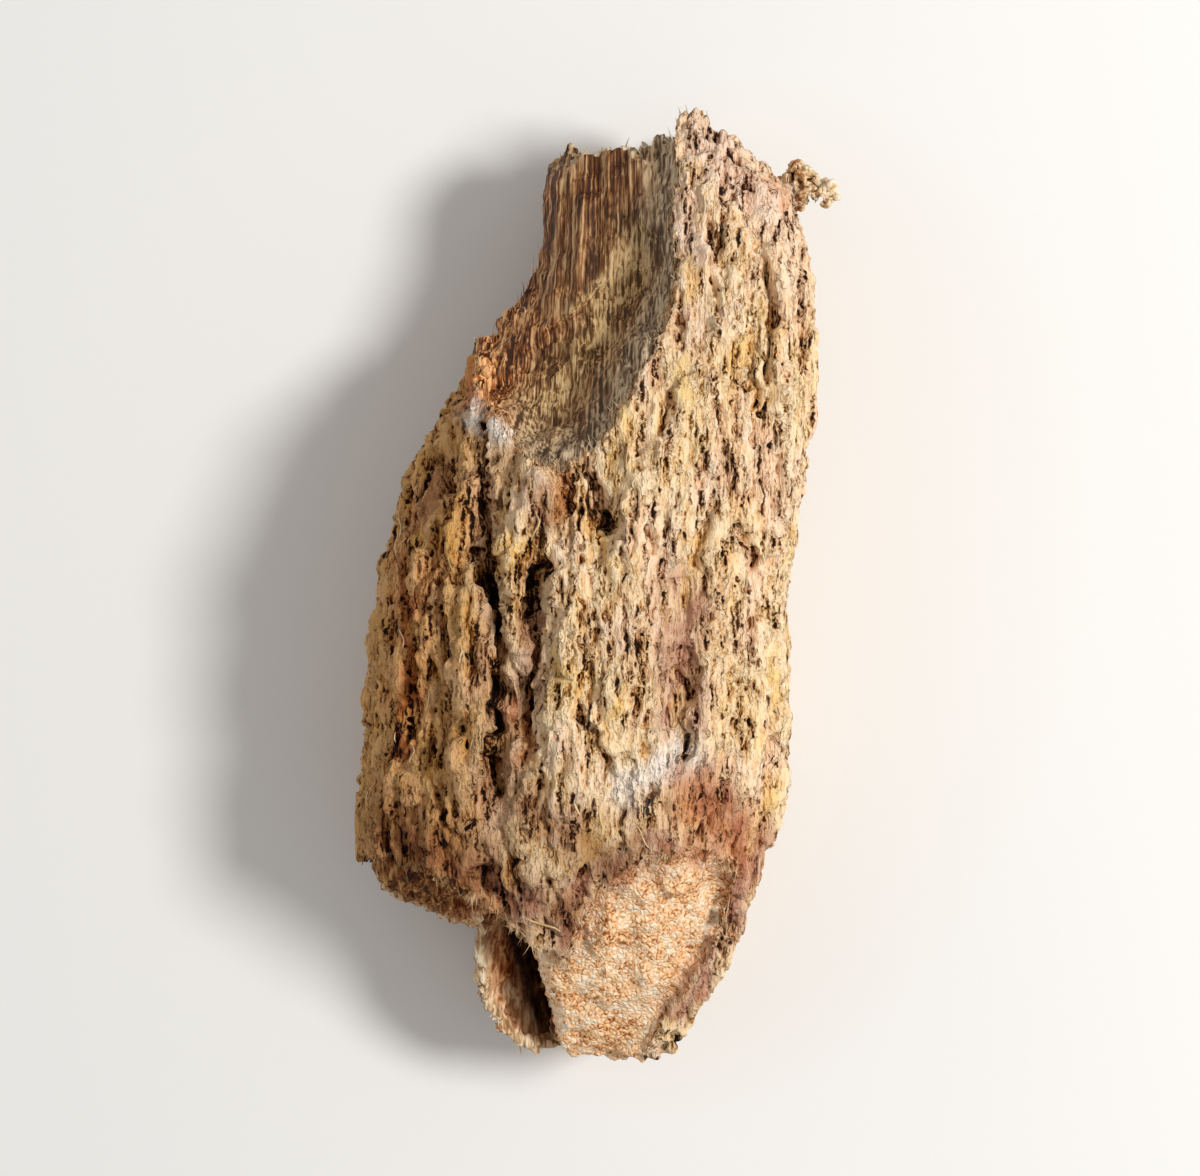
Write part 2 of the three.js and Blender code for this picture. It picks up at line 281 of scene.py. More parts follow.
# The torn bark slants down to the wood and to the cork instead of ending in a sheer step. On the
# left the flake's inner face slants into the crack. Each slope starts a little below the bark
# beside it: how far below, how much it falls and over what distance.
TORN_SLOPE = {"below": 0.12, "fall": 0.75, "over": 0.64}
CORK_SLOPE = {"below": 0.08, "fall": 0.3, "over": 0.7}
FLAKE_LINE = ((-1.96, -5.3), (-2.0, -6.0), (-1.92, -6.7), (-1.56, -7.3), (-1.0, -7.75))
FLAKE_TOP = {"along": -5.34, "height": 3.35, "fall": 0.5}  # it falls towards the foot
FLAKE_HOLLOW = {"start": 0.26, "over": 0.75, "fall": 0.9}
FLAKE_REACH = {"left": -1.95, "right": -1.0, "head": -5.3}
LOWEST_TORN = 0.9  # nothing below this height slants
DEEPEST_TORN = 1.2  # and nothing this far below the bark beside it
RING = {"places": 8, "radius": 0.16}
OUTSIDE = 9.0  # rays start this far from the middle
surface = BVHTree.FromObject(chip, bpy.context.evaluated_depsgraph_get())
levels = {}


def bark_level(dot):
    """The bark's height beside a point of its torn edge: the highest in a ring of places around it."""
    key = (round(dot.x, 2), round(dot.y, 2))
    if key not in levels:
        turns = [2 * math.pi * i / RING["places"] for i in range(RING["places"])]
        ring = [dot + Vector((math.cos(turn), math.sin(turn), 0)) * RING["radius"] for turn in turns]
        hits = [surface.ray_cast(Vector((p.x, p.y, OUTSIDE)), Vector((0, 0, -1)))[0] for p in ring]
        levels[key] = max(hit.z for hit in hits if hit)
    return levels[key]


# Both ends snapped unevenly: bundles of fibres stopped short by up to half a millimetre. Each end
# has the place where that starts and how short a bundle may fall.
RAGGED = {"head": (7.0, 0.5), "foot": (-7.3, 0.12)}
RAGGED_OVER = 0.5  # length in which it grows to its full depth
RAGGED_ABOVE = 0.3  # height
for vertex in chip.data.vertices:
    p = vertex.co
    for start, short in RAGGED.values():
        if p.y / start > 1.0 and p.z > RAGGED_ABOVE:
            bundle = 0.5 + 0.9 * noise.noise(Vector((p.x / 0.3, 0.0, p.z / 0.5))) + 0.5 * noise.noise(
                Vector((p.x / 0.12, 3.0, p.z / 0.16)))
            share = clamp((p.y / start - 1.0) / (RAGGED_OVER / abs(start)))
            vertex.co.y -= math.copysign(short * clamp(bundle) * share, start)
flake_dots = along_line(FLAKE_LINE)
for vertex in chip.data.vertices:
    x, y, z = vertex.co
    if z < LOWEST_TORN:
        continue
    dot, distance = notch_nearest(x, y)
    slope = TORN_SLOPE
    if not (notch_inside(x, y) or distance < 0.08):
        dot, distance = foot_nearest(x, y)
        slope = CORK_SLOPE
        if not cork_inside(x, y):
            distance = math.inf
        distance += 0.9 * clamp((0.1 - x) / 0.6)
        distance += 0.1 * noise.noise(vertex.co / 0.4)
    if distance < slope["over"]:
        level = bark_level(dot)
        target = level - slope["below"] - slope["fall"] * distance / slope["over"]
        if level - DEEPEST_TORN < z < target:
            vertex.co.z = target
    if foot_inside(x, y) and FLAKE_REACH["left"] < x < FLAKE_REACH["right"] and y < FLAKE_REACH["head"]:
        reach = min((Vector((x, y)) - dot).length for dot in flake_dots)
        top = FLAKE_TOP["height"] + FLAKE_TOP["fall"] * (y - FLAKE_TOP["along"])
        target = top - FLAKE_HOLLOW["fall"] * clamp((reach - FLAKE_HOLLOW["start"]) / FLAKE_HOLLOW["over"])
        if reach < FLAKE_HOLLOW["start"] + FLAKE_HOLLOW["over"] and z < target:
            vertex.co.z = target

# Drying left the whole surface uneven, less so near the flat face.
for vertex, normal in [(v, v.normal.copy()) for v in chip.data.vertices]:
    p = vertex.co
    uneven = 0.09 * noise.noise(p / 0.55) + 0.07 * noise.noise(p / 0.22) - 0.03
    vertex.co = p + normal * uneven * clamp((p.z - 0.1) / 0.3)
finish_with(chip, "REMESH", mode="VOXEL", voxel_size=FINE_SKIN, use_smooth_shade=True)
finish_with(chip, "SMOOTH", factor=0.5, iterations=3)

# The outer bark dries into thin wiry ridges that run along the root, part and join again, with furrows
# between them that are painted dark, partly dirt and partly painted shade. The main ones follow this chip:
# each is a path in plan with its depth or rise and its width. The rest are noise, given by its strength and
# the size of its spots.
FURROWS = (
    (((-1.72, 2.05), (-1.6, 1.45), (-1.6, 0.9), (-1.48, 0.0), (-1.39, -0.75), (-1.4, -1.5), (-1.47, -2.2)),
     0.34, 0.07),
    (((-1.6, -2.3), (-1.5, -2.7), (-1.45, -3.1)), 0.34, 0.08), (((-1.75, 0.7), (-1.62, 0.1)), 0.24, 0.09),
    (((-0.8, 0.4), (-0.86, -0.2), (-0.76, -0.75), (-0.8, -1.1)), 0.3, 0.12),
    (((-0.9, -1.2), (-1.0, -2.2)), 0.24, 0.06),
    (((-0.35, -1.5), (-0.2, -1.9), (0.05, -2.2), (0.3, -2.6)), 0.13, 0.05),
    (((-2.4, 2.2), (-2.2, 1.7)), 0.29, 0.08),
    (((-3.0, 0.1), (-2.85, -0.7), (-2.8, -1.5)), 0.24, 0.08), (((-3.05, -1.8), (-3.1, -2.6)), 0.20, 0.07),
    (((-2.05, -2.0), (-1.95, -2.4)), 0.24, 0.07), (((-2.5, -2.9), (-2.35, -3.4), (-2.2, -3.8)), 0.20, 0.05),
    (((0.0, 2.2), (0.1, 1.7), (0.3, 1.1)), 0.28, 0.09), (((-0.4, 2.1), (-0.3, 1.4)), 0.28, 0.08),
    (((0.62, -0.4), (0.65, -0.8)), 0.21, 0.05), (((1.0, 1.1), (1.05, 0.7)), 0.16, 0.05),
    (((2.0, 1.5), (1.8, 1.0), (1.65, 0.5)), 0.16, 0.05), (((2.4, 1.1), (2.65, 0.5)), 0.18, 0.06),
    (((2.6, -0.4), (2.65, -1.0)), 0.19, 0.05), (((2.15, 0.9), (2.2, 0.2), (2.2, -0.5)), 0.16, 0.05),
    (((0.85, -0.6), (0.9, -1.3)), 0.19, 0.06), (((1.55, -2.2), (1.55, -2.6)), 0.24, 0.06),
    (((-0.15, -0.7), (0.0, -1.2)), 0.18, 0.06), (((1.4, -1.2), (1.65, -1.7)), 0.16, 0.08),
    (((2.8, 5.4), (2.9, 4.6), (2.85, 3.7)), 0.22, 0.05), (((3.45, 5.2), (3.5, 4.4), (3.5, 3.8)), 0.24, 0.05),
    (((2.6, 3.5), (2.75, 2.9)), 0.19, 0.05), (((1.35, 3.4), (1.1, 2.6)), 0.21, 0.05),
    (((2.1, 3.0), (2.15, 2.6)), 0.18, 0.05), (((2.15, 6.1), (2.1, 5.6)), 0.21, 0.06),
    (((1.95, 5.7), (2.2, 5.3)), 0.16, 0.07),
)
RIDGES = (
    (((-1.9, 1.8), (-1.35, 2.15)), 0.14, 0.06), (((-1.7, -0.7), (-1.62, -2.0), (-1.75, -2.8)), 0.14, 0.07),
    (((-1.5, 1.9), (-1.3, 0.6)), 0.12, 0.06), (((-0.5, 0.0), (-0.75, -1.4)), 0.14, 0.06),
    (((-0.3, -1.2), (-0.05, -1.8), (0.25, -2.2), (0.5, -2.8)), 0.1, 0.07),
    (((2.1, -0.2), (2.15, -1.9)), 0.12, 0.07),
    (((3.15, 3.3), (3.2, 2.0), (3.1, 0.5), (3.1, -1.0), (3.1, -3.0), (2.9, -4.0)), 0.14, 0.13),
    (((2.9, 5.6), (3.1, 4.6), (3.05, 3.6)), 0.12, 0.1),
    (((-2.7, 0.9), (-2.6, -0.6), (-2.7, -2.4)), 0.12, 0.08),
    (((-2.15, 1.6), (-2.25, 0.3), (-2.1, -1.4)), 0.12, 0.07), (((-3.3, -0.4), (-3.35, -2.0)), 0.1, 0.07),
)
WAIST = 1.95  # height of the root's middle line, and the main furrows stay above it
furrows = [(stroke(path, width), depth) for path, depth, width in FURROWS]
ridges = [(stroke(path, width), rise) for path, rise, width in RIDGES]


def drawn_out(p, across, along, seed):
    """Noise whose spots are that wide across the root and that long along it."""
    return noise.noise(Vector((p.x / across + seed, p.y / along, p.z / across)))


def net(p, across, along, seed):
    """How far down a place lies in the meshes of a net of threads along the root: 0 on the threads."""
    nearest, cells = noise.voronoi(Vector((p.x / across + seed, p.y / along, p.z / across)))
    depth = 0.4 + 0.6 * noise.cell(cells[0] * 97.0)
    return clamp((nearest[1] - nearest[0] - 0.15) / 0.45) * depth


def bark_form(p):
    """How far the bark stands out of the root's even form, and how pale it is: paler on its crests and
    darker in its hollows, partly its own colour and dirt and partly painted light and shade.
    """
    sway = 0.3 * noise.noise(Vector((p.x / 2.0, p.y / 2.4, p.z / 2.0)))
    kink = 0.09 * noise.noise(Vector((p.x / 0.4, p.y / 0.3, p.z / 0.4 + 9)))
    jerk = 0.05 * noise.noise(Vector((p.x / 0.12, p.y / 0.1, p.z / 0.12 + 5)))
    q = Vector((p.x + sway + kink + jerk, p.y + 0.5 * kink, p.z + sway - kink + jerk))
    fold = clamp(1.0 - abs(drawn_out(q, 0.36, 2.6, 3)) * 2.5)
    leftward = clamp((-0.3 - p.x) / 0.7)
    hollow = net(q, 0.18, 1.5, 11)
    crack = clamp(1.0 - abs(drawn_out(q, 0.42, 3.2, 47)) * 9.0) * clamp(0.3 + 2.0 * noise.noise(p / 0.9))
    furrow, ridge = 0.0, 0.0
    if p.z > WAIST:
        furrow = max(depth * near(p.x + kink + jerk, p.y) for near, depth in furrows)
        ridge = max(rise * near(p.x + kink + jerk, p.y) for near, rise in ridges)
    height = (0.07 + 0.08 * leftward) * fold - 0.16 * hollow - 0.1 * crack - 0.8 * furrow + ridge
    # The crests are painted paler and the hollows, cracks and furrows darker: partly the bark's own colour
    # and dirt, partly painted light and shade.
    pale = 0.67 + 0.15 * fold + 0.35 * leftward * (fold - 0.5)
    pale += 0.8 * ridge - 0.6 * hollow - 0.3 * crack - 1.5 * furrow
    return height + 0.03 * noise.noise(p / 0.08) - 0.03, min(pale, 0.88)


# The bare wood at the head: straight fibres, frayed at the torn left edge, with a step down to the
# scooped lower part.
FRAYED = ((-1.8, 3.3), (-1.6, 4.3), (-1.3, 5.0), (-1.15, 5.6))
FRAYED_WIDE = 0.22
STEP = (Vector((-0.5, 4.55)) - CENTRE, Vector((1.1, 5.95)) - CENTRE)  # the scoop starts at this line
STEP_DROP = 0.2
TORN_WIDE = 0.6  # the slope from the bark's edge down to the wood
ROUND = {"middle": 0.3, "under": 0.5, "radius": 3.6}  # the arc on which the wood's fibres lie
frays = stroke(FRAYED, FRAYED_WIDE)


def round_root(p):
    """How far round the root a place lies, so that its fibres run along it on every side."""
    return ROUND["radius"] * math.atan2(p.z + ROUND["under"], p.x - ROUND["middle"])


def wood_form(p, slope):
    """How far the wood's fibres stand out: long on the flat, torn short on the slope up to the bark."""
    across = round_root(p) + 0.05 * noise.noise(p / 1.2)
    lines = 0.06 * noise.noise(Vector((across / 0.15, p.y / 4.0, 5))) + 0.04 * noise.noise(
        Vector((across / 0.07, p.y / 2.0, 15)))
    torn = 0.07 * drawn_out(p, 0.12, 0.7, 31) + 0.04 * drawn_out(p, 0.06, 0.25, 37)
    frayed = 0.16 + 0.2 * drawn_out(p, 0.1, 0.5, 41) + 0.1 * drawn_out(p, 0.05, 0.2, 43)
    ahead = (STEP[1] - STEP[0]).normalized()
    past = ahead.x * (p.y - STEP[0].y) - ahead.y * (p.x - STEP[0].x) + 0.1 * drawn_out(p, 0.16, 0.6, 3)
    scoop = clamp(-past / 0.12) * clamp(1.0 + past / 1.6)
    crumbs = 0.06 * noise.noise(p / 0.16) + 0.04 * noise.noise(p / 0.07)
    edge = frays(p.x, p.y)
    plain = lines + (crumbs - STEP_DROP) * scoop
    return plain * (1.0 - slope) + torn * slope + frayed * edge - 0.02


def cork_form(p):
    """How far the inner cork's rounded, close-packed grains stand out, each to its own height."""
    nearest, cells = noise.voronoi(p / 0.12)
    grain = clamp((nearest[1] - nearest[0]) / 0.5) * (0.3 + 0.7 * noise.cell(cells[0] * 97.0))
    return 0.045 * grain + 0.03 * noise.noise(p / 0.4) + 0.02 * noise.noise(p / 0.06) - 0.04


def broken_form(p):
    """How far the short uneven fibres of a broken face stand out."""
    return 0.1 * drawn_out(p, 0.16, 0.6, 0) + 0.05 * noise.noise(p / 0.1) - 0.04


# The tuft on the shoulder, as the balls it is made of: place and radius.
TUFT = ((3.2, 6.62, 2.35, 0.42), (3.52, 6.9, 2.62, 0.36), (3.42, 7.08, 2.75, 0.24), (3.86, 6.72, 2.66, 0.26),
        (4.08, 6.62, 2.72, 0.19))
tuft = [(Vector((x - CENTRE.x, y - CENTRE.y, z)), radius) for x, y, z, radius in TUFT]
BARK, WOOD, CORK, BROKEN, FLESH = range(5)
FLAT_BELOW = 0.08  # the flat face lies under this height
ENDS_FROM = 6.6  # the end faces lie at least this far from the middle
CUT_UP_TO = {"ends": 0.6, "head": 3.2}  # height to which the cutter, not the break, made them
regions, heights, pales, slopes = [], [], [], []
for vertex in chip.data.vertices:
    p, n = vertex.co, vertex.normal
    shaken = p.x + 0.07 * noise.noise(p / 0.3) + 0.07 * noise.noise(p / 0.11)
    torn_y = p.y + 0.12 * noise.noise(p / 0.35 + Vector((3, 3, 3))) + 0.12 * noise.noise(p / 0.12)
    torn_z = p.z + 0.3 * noise.noise(p / 0.5) + 0.15 * noise.noise(p / 0.12)
    pale, slope = 0.5, 0.0
    if p.z < FLAT_BELOW and n.z < -0.4:
        region = FLESH
        height = 0.0
    elif abs(n.y) > 0.7 and abs(p.y) > ENDS_FROM and (
            torn_z < CUT_UP_TO["ends"]
            or (p.y > 0 and (torn_z < CUT_UP_TO["head"] or notch_inside(shaken, p.y)))):
        region = FLESH
        height = broken_form(p) * clamp(p.z / 0.1)
    elif p.x > tuft[0][0].x + 0.1 and min((p - middle).length - radius for middle, radius in tuft) < 0.08:
        region = BARK
        # Its folds are painted paler and its creases darker with the crumple: painted light and shade.
        crumple = 1.0 - 3.0 * abs(noise.noise(p / 0.17)) - 1.5 * abs(noise.noise(p / 0.08))
        height, pale = 0.16 * crumple - 0.07, 0.7 + 0.6 * crumple
    elif notch_inside(shaken, p.y):
        region = WOOD
        slope = clamp(1.2 - notch_nearest(shaken, p.y)[1] / TORN_WIDE) * clamp((p.x + 1.7) / 0.8)
        height = wood_form(p, slope)
    elif foot_inside(shaken, torn_y):
        region = CORK if cork_inside(shaken, torn_y) else BROKEN
        height = cork_form(p) if region == CORK else broken_form(p)
    else:
        region = BARK
        height, pale = bark_form(p)
        height *= clamp(p.z / 0.3)
    regions.append(region)
    heights.append(height)
    pales.append(pale)
    slopes.append(slope)
for vertex, move in zip(chip.data.vertices, [v.normal * h for v, h in zip(chip.data.vertices, heights)]):
    p = vertex.co + move
    vertex.co = [clamp(value, lowest, highest) for value, lowest, highest in zip(p, low, high)]

# Stains, dust and painted light and shade on this chip: paths in plan with their width and strength. The dim
# marks are painted shade, rim a painted highlight along thin edges, crack a painted shadow in the crack
# beside the flake, powder white dust with a painted highlight on the crests, and olive the scoop's tint.
MARKS = {
    # White dust with a painted highlight on the crests.
    "dust_and_highlight": (
        (((0.5, -3.08), (1.0, -2.78), (1.45, -2.55)), 0.3, 1.0),
        (((-1.8, 3.0), (-1.6, 2.7), (-1.4, 2.5)), 0.2, 1.0),
    ),
    "rust": (
        (((1.5, -3.1), (2.1, -3.5), (2.4, -4.1)), 0.5, 0.8),
        (((-3.0, -2.5), (-2.95, -1.0), (-3.0, 0.4)), 0.16, 0.9),
        (((-1.8, 3.3), (-1.6, 4.3), (-1.1, 5.2)), 0.3, 1.0), (((-0.6, 1.2), (-0.35, 1.9)), 0.16, 0.7),
        (((-1.5, 2.9), (-1.2, 3.9), (-1.0, 4.8)), 0.3, 0.8), (((-0.9, 5.6), (-0.75, 6.6)), 0.12, 0.8),
        (((-1.75, -5.5), (-1.7, -6.4), (-1.2, -7.4)), 0.5, 1.0), (((-1.1, -1.7), (-1.1, -2.6)), 0.16, 0.8),
        (((3.1, 6.7), (3.3, 6.5)), 0.2, 0.4),
    ),
    "plum": (
        (((1.5, -1.8), (1.45, -0.9), (1.5, 0.0)), 0.42, 0.9),
        (((-3.2, -4.0), (-2.2, -4.2), (-1.0, -5.0)), 0.36, 0.8),
        (((-0.4, -5.4), (0.0, -4.6), (1.0, -4.05), (2.0, -4.0)), 0.32, 0.9),
        (((1.9, -3.0), (2.3, -3.6), (2.7, -4.6)), 0.4, 0.8),
        (((2.5, -4.4), (2.3, -5.4), (1.5, -6.8)), 0.24, 0.9), (((-2.7, 1.2), (-2.5, 1.9)), 0.2, 0.7),
        (((-0.95, -1.6), (-0.85, -0.4)), 0.22, 0.6),
    ),
    # Painted shade: the bark darkened along these paths.
    "painted_shade": (
        (((-3.2, -3.8), (-2.2, -4.0), (-1.2, -4.5), (-0.4, -5.2)), 0.7, 0.7),
        (((-1.6, -3.4), (-1.5, 1.0)), 0.3, 0.5),
        (((-1.3, -3.0), (-0.6, -3.7), (0.5, -4.2)), 0.6, 0.9), (((-0.9, 0.2), (-0.9, -1.4)), 0.3, 0.6),
        (((-1.3, 2.2), (-1.0, 1.8), (-0.7, 1.2)), 0.32, 0.7),
    ),
    # A painted highlight along thin edges and along the wood's step.
    "painted_rim_light": (
        (((-0.35, 4.66), (0.3, 5.2), (0.8, 5.65)), 0.06, 0.6),
        (((-3.8, -4.66), (-3.17, -5.16), (-2.33, -5.58), (-1.9, -5.7)), 0.1, 0.9),
        (((-1.8, -5.5), (-1.84, -6.2), (-1.7, -6.8), (-1.36, -7.3), (-0.9, -7.6)), 0.2, 1.0),
        (((-1.35, -6.6), (-1.05, -7.1), (-0.7, -7.5)), 0.16, 0.7),
    ),
    "pink": (
        (((1.9, 7.4), (2.3, 6.8), (3.0, 6.3)), 0.6, 1.0), (((3.3, 5.8), (3.35, 4.6)), 0.4, 0.7),
        (((2.7, 2.6), (3.0, 1.4)), 0.4, 0.7), (((1.2, 5.2), (1.7, 4.2)), 0.4, 0.7),
        (((1.35, 6.4), (1.7, 5.5)), 0.5, 0.9),
    ),
    # A painted shadow in the crack between the flake and the cork.
    "crack": ((((-1.32, -5.35), (-1.14, -6.1), (-0.96, -6.8), (-0.8, -7.15)), 0.17, 1.0),),
    "olive": ((((-0.9, 2.6), (-0.5, 3.3), (0.1, 4.2), (0.6, 5.2), (0.7, 5.8)), 0.42, 1.0),),
}
SHARP_MARKS = ("painted_rim_light", "crack")  # the others have a wavering edge
MARKS_FADE = {"from": 1.0, "over": 0.6}  # height at which they start, and in which they grow
LEFT_SHADE_FROM, LEFT_SHADE_WIDE = -1.3, 1.0  # painted shade: the bark darkens leftward from here, over that width, as if turned from the light
marks = {}
for kind, drawn in MARKS.items():
    marks[kind] = [(stroke(path, width), strength) for path, width, strength in drawn]
fields = {kind: [] for kind in (*marks, "left", "around")}
fields.update(pale=pales, torn=slopes)
for vertex in chip.data.vertices:
    p = vertex.co
    x = p.x + 0.25 * noise.noise(p / 0.5)
    y = p.y + 0.25 * noise.noise(p / 0.5 + Vector((7, 7, 7)))
    grown = clamp((p.z - MARKS_FADE["from"]) / MARKS_FADE["over"])
    for kind, strokes in marks.items():
        at = (p.x, p.y) if kind in SHARP_MARKS else (x, y)
        fields[kind].append(max(strength * near(*at) for near, strength in strokes) * grown)
    fields["left"].append(clamp((LEFT_SHADE_FROM - x) / LEFT_SHADE_WIDE))
    fields["around"].append(round_root(p))
for kind, values in fields.items():
    chip.data.attributes.new(kind, "FLOAT", "POINT").data.foreach_set("value", values)


def streaks(tree, place, patterns):
    """Noises drawn out along the root: each has a name, a width, a length and a detail."""
    made = {}
    for name, across, along, detail in patterns:
        drawn = add(tree, "ShaderNodeMapping", {
            "Vector": place, "Scale": (1 / (across * MM), 1 / (along * MM), 1 / (across * MM))})
        made[name] = add(tree, "ShaderNodeTexNoise", {
            "Vector": drawn.outputs["Vector"], "Scale": 1.0, "Detail": detail}).outputs["Fac"]
    return made


# Dried cork bark, shrunk and weathered: dull, pale straw on its crests and dark brown in its furrows and
# pits, partly its own colour and dirt and partly painted light and shade, with pink, yellow and grey
# patches. Cork's cells are about 0.03 mm wide, too fine to show, so the fibres and the pits between them are
# drawn two and three times as wide.
BARK_GRAIN = (
    ("fibre", 0.06, 0.5, 3), ("clump", 0.4, 0.9, 3), ("patch", 0.55, 1.1, 2), ("grain", 0.035, 0.1, 3))
PIT_WIDE, PIT_LONG = 0.085 * MM, 0.6 * MM
WAVER = {"wide": 0.1 * MM, "by": 0.14 * MM}  # of the rows of pits
bark, tree, shader = material("dry_cork_bark", 0.85, 0.2)
place = add(tree, "ShaderNodeTexCoord").outputs["Object"]
has = {}
for name in ("pale", "left", "dust_and_highlight", "rust", "plum", "painted_shade", "pink"):
    has[name] = add(tree, "ShaderNodeAttribute", attribute_name=name).outputs["Fac"]
has.update(streaks(tree, place, BARK_GRAIN))
wander = add(tree, "ShaderNodeTexNoise", {"Vector": place, "Scale": 1 / WAVER["wide"], "Detail": 3})
swayed = add(tree, "ShaderNodeVectorMath", {
    0: wander.outputs["Color"], 1: [WAVER["by"]] * 3, 2: place}, operation="MULTIPLY_ADD").outputs["Vector"]
drawn = add(tree, "ShaderNodeMapping", {
    "Vector": swayed, "Scale": (1 / PIT_WIDE, 1 / PIT_LONG, 1 / PIT_WIDE)}).outputs["Vector"]
edge = add(tree, "ShaderNodeTexVoronoi", {
    "Vector": drawn, "Scale": 1.0}, feature="DISTANCE_TO_EDGE").outputs["Distance"]
pore = add(tree, "ShaderNodeTexVoronoi", {"Vector": drawn, "Scale": 1.0}).outputs["Color"]
pore = add(tree, "ShaderNodeSeparateColor", {"Color": pore}).outputs["Red"]
hole = add(tree, "ShaderNodeMapRange", {"Value": edge, "From Min": 0.02, "From Max": 0.34}).outputs["Result"]
some = add(tree, "ShaderNodeMapRange", {"Value": pore, "From Min": 0.1, "From Max": 0.9}).outputs["Result"]
# The pits are darkened where the bump sinks them: partly dirt, partly painted shade.
has["pore"] = add(tree, "ShaderNodeMath", {0: hole, 1: some}, operation="MULTIPLY").outputs["Value"]
shade = -1.7
for name, weight in (("pale", 1.3), ("fibre", 1.95), ("clump", 0.8), ("grain", 0.65), ("pore", -0.9)):
    shade = add(tree, "ShaderNodeMath", {
        0: has[name], 1: weight, 2: shade}, operation="MULTIPLY_ADD").outputs["Value"]
patchy = add(tree, "ShaderNodeMapRange", {
    "Value": has["clump"], "From Min": 0.38, "From Max": 0.56, "To Min": 0.3}).outputs["Result"]
has["plum"] = add(tree, "ShaderNodeMath", {0: has["plum"], 1: patchy}, operation="MULTIPLY").outputs["Value"]
straw = add(tree, "ShaderNodeValToRGB", {"Fac": shade}, stops=(
    (0.0, "#221004"), (0.14, "#5A2E0E"), (0.28, "#965E26"), (0.42, "#C8965A"), (0.56, "#E8BE86"),
    (0.74, "#F8CF98"), (1.0, "#FFE1B4"))).outputs["Color"]
mauve = add(tree, "ShaderNodeValToRGB", {"Fac": shade}, stops=(
    (0.0, "#200E08"), (0.14, "#4E2A1A"), (0.28, "#8A583E"), (0.42, "#BE8E70"), (0.56, "#E4BA9A"),
    (0.74, "#F6CCAA"), (1.0, "#FFE0C6"))).outputs["Color"]
share = add(tree, "ShaderNodeMapRange", {
    "Value": has["patch"], "From Min": 0.53, "From Max": 0.37, "To Max": 0.6}).outputs["Result"]
for name in ("pink", "plum"):
    share = add(tree, "ShaderNodeMath", {0: share, 1: has[name]}, operation="MAXIMUM").outputs["Value"]
tone = add(tree, "ShaderNodeMix", {0: share, 6: straw, 7: mauve}, data_type="RGBA").outputs[2]
has["ochre"] = add(tree, "ShaderNodeMapRange", {
    "Value": has["patch"], "From Min": 0.6, "From Max": 0.7}).outputs["Result"]
# The left share and the dim marks are painted shade on the bark.
for name, stain in (("ochre", "#FAF2D2"), ("plum", "#BC9284"), ("rust", "#D8A078"), ("left", "#DCC4A2"),
                    ("painted_shade", "#B8A290")):
    tone = add(tree, "ShaderNodeMix", {0: has[name], 6: tone, 7: stain}, data_type="RGBA",
               blend_type="MULTIPLY").outputs[2]
# Powder is white dust with a painted highlight: it whitens only the pale crests.
speckle = add(tree, "ShaderNodeMath", {
    0: has["grain"], 1: 0.9, 2: has["fibre"]}, operation="MULTIPLY_ADD").outputs["Value"]
dust_and_highlight_share = add(tree, "ShaderNodeMapRange", {
    "Value": speckle, "From Min": 0.74, "From Max": 0.94, "To Min": 0.55}).outputs["Result"]
crest = add(tree, "ShaderNodeMapRange", {
    "Value": has["pale"], "From Min": 0.3, "From Max": 0.6}).outputs["Result"]
for part in (has["dust_and_highlight"], crest):
    dust_and_highlight_share = add(tree, "ShaderNodeMath", {0: dust_and_highlight_share, 1: part}, operation="MULTIPLY").outputs["Value"]
tone = add(tree, "ShaderNodeMix", {0: dust_and_highlight_share, 6: tone, 7: "#FFF1E0"}, data_type="RGBA").outputs[2]
tree.links.new(tone, shader.inputs["Base Color"])
rough = has["fibre"]
for name, weight in (("pore", -1.2), ("grain", 0.6)):
    rough = add(tree, "ShaderNodeMath", {
        0: has[name], 1: weight, 2: rough}, operation="MULTIPLY_ADD").outputs["Value"]
bump = add(tree, "ShaderNodeBump", {"Height": rough, "Strength": 1.0, "Distance": 0.06 * MM})
tree.links.new(bump.outputs["Normal"], shader.inputs["Normal"])

# Bare wood of a root, split along its vessels, which are 0.04 to 0.1 mm wide: a dull sheen and long
# dark and light lines, yellower in the scoop, orange at its torn left edge, and grey-brown where
# the bark's torn edge slants up. The lines lie side by side round the root.
WOOD_LINES = (("line", 0.08, 4.0, 4), ("hair", 0.035, 1.6, 4))
WOOD_SHREDS = (("shred", 0.05, 0.4, 4), ("blotch", 0.35, 0.7, 3))
wood, tree, shader = material("split_root_wood", 0.62, 0.3)
place = add(tree, "ShaderNodeTexCoord").outputs["Object"]
has = {}
for name in ("around", "torn", "olive", "rust", "painted_rim_light"):
    has[name] = add(tree, "ShaderNodeAttribute", attribute_name=name).outputs["Fac"]
lengthwise = add(tree, "ShaderNodeSeparateXYZ", {"Vector": place}).outputs["Y"]
sideways = add(tree, "ShaderNodeMath", {0: has["around"], 1: MM}, operation="MULTIPLY").outputs["Value"]
rolled = add(tree, "ShaderNodeCombineXYZ", {"X": sideways, "Y": lengthwise}).outputs["Vector"]
has.update(streaks(tree, rolled, WOOD_LINES))
has.update(streaks(tree, place, WOOD_SHREDS))
shades = []
for level, weights in ((-1.15, (("line", 1.1), ("hair", 1.0), ("blotch", 0.5), ("shred", 0.7))),
                       (-1.3, (("shred", 1.6), ("hair", 1.2), ("blotch", 0.8)))):
    shade = level
    for name, weight in weights:
        shade = add(tree, "ShaderNodeMath", {
            0: has[name], 1: weight, 2: shade}, operation="MULTIPLY_ADD").outputs["Value"]
    shades.append(shade)
